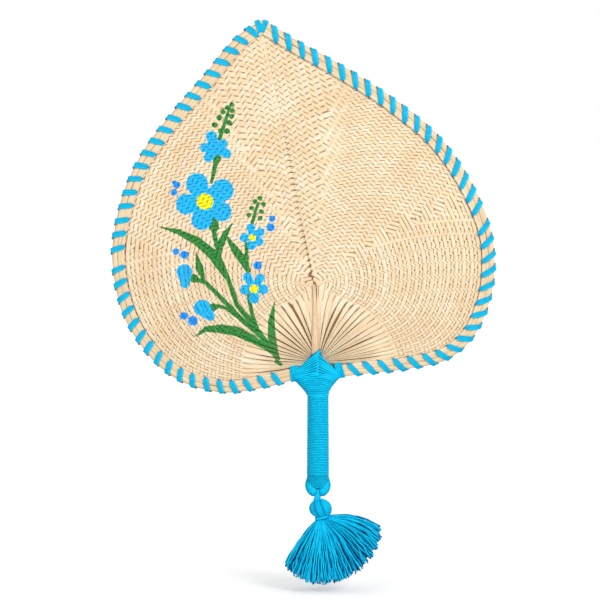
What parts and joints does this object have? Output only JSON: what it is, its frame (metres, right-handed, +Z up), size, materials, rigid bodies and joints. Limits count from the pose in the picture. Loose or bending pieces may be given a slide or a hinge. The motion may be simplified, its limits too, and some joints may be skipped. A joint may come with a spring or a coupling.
{
  "type": "palm leaf fan",
  "caption": "Leaf-shaped hand fan: a woven palm leaf blade with a ribbon-laced rim, a thread-wound grip, an end eye and a swinging tassel.",
  "frame": {"origin": "centre of the wound grip, where the hand holds the fan", "axes": "+Z up the fan to its tip, +Y out of the blade's back, +X to the right seen from the front; the painted front faces -Y"},
  "size_m": [0.2885, 0.0399, 0.4285],
  "materials": {
    "leaf_weave": "dry plaited palm leaf, matt with a soft sheen",
    "rim_leaf": "dry palm leaf strip",
    "stalk": "dry palm stalk",
    "ribbon": "flat woven ribbon with a soft sheen",
    "thread": "wound thread with a soft sheen",
    "tassel_thread": "twisted thread"
  },
  "bodies": {
    "fan": {"woven_blade": "leaf_weave", "leaf_heart": "leaf_weave", "leaf_stalk": "stalk", "rim_fold_left": "rim_leaf", "rim_fold_right": "rim_leaf", "rim_front_left": "rim_leaf", "rim_front_right": "rim_leaf", "rim_back_left": "rim_leaf", "rim_back_right": "rim_leaf", "lashing_left": "thread", "lashing_right": "thread", "edge_lacing_lower_left": "ribbon", "edge_lacing_upper_left": "ribbon", "edge_lacing_lower_right": "ribbon", "edge_lacing_upper_right": "ribbon", "strip_bundle": "stalk", "grip_winding": "thread", "collar_wrap": "thread", "end_eye": "stalk", "eye_wrap_left": "thread", "eye_wrap_right": "thread"},
    "cord": {"tassel_cord": "thread"},
    "tassel": {"tassel_head": "tassel_thread", "neck_tie": "tassel_thread", "tassel_skirt": "tassel_thread"}
  },
  "joints": [
    {"name": "cord_swing", "type": "hinge", "parent": "fan", "child": "cord", "pos_m": [0, 0, -0.04505], "axis": [1, 0, 0], "range_deg": [-50, 50]},
    {"name": "tassel_side_swing", "type": "hinge", "parent": "cord", "child": "tassel", "pos_m": [0, 0, -0.05195], "axis": [0, 1, 0], "range_deg": [-20, 20]}
  ]
}
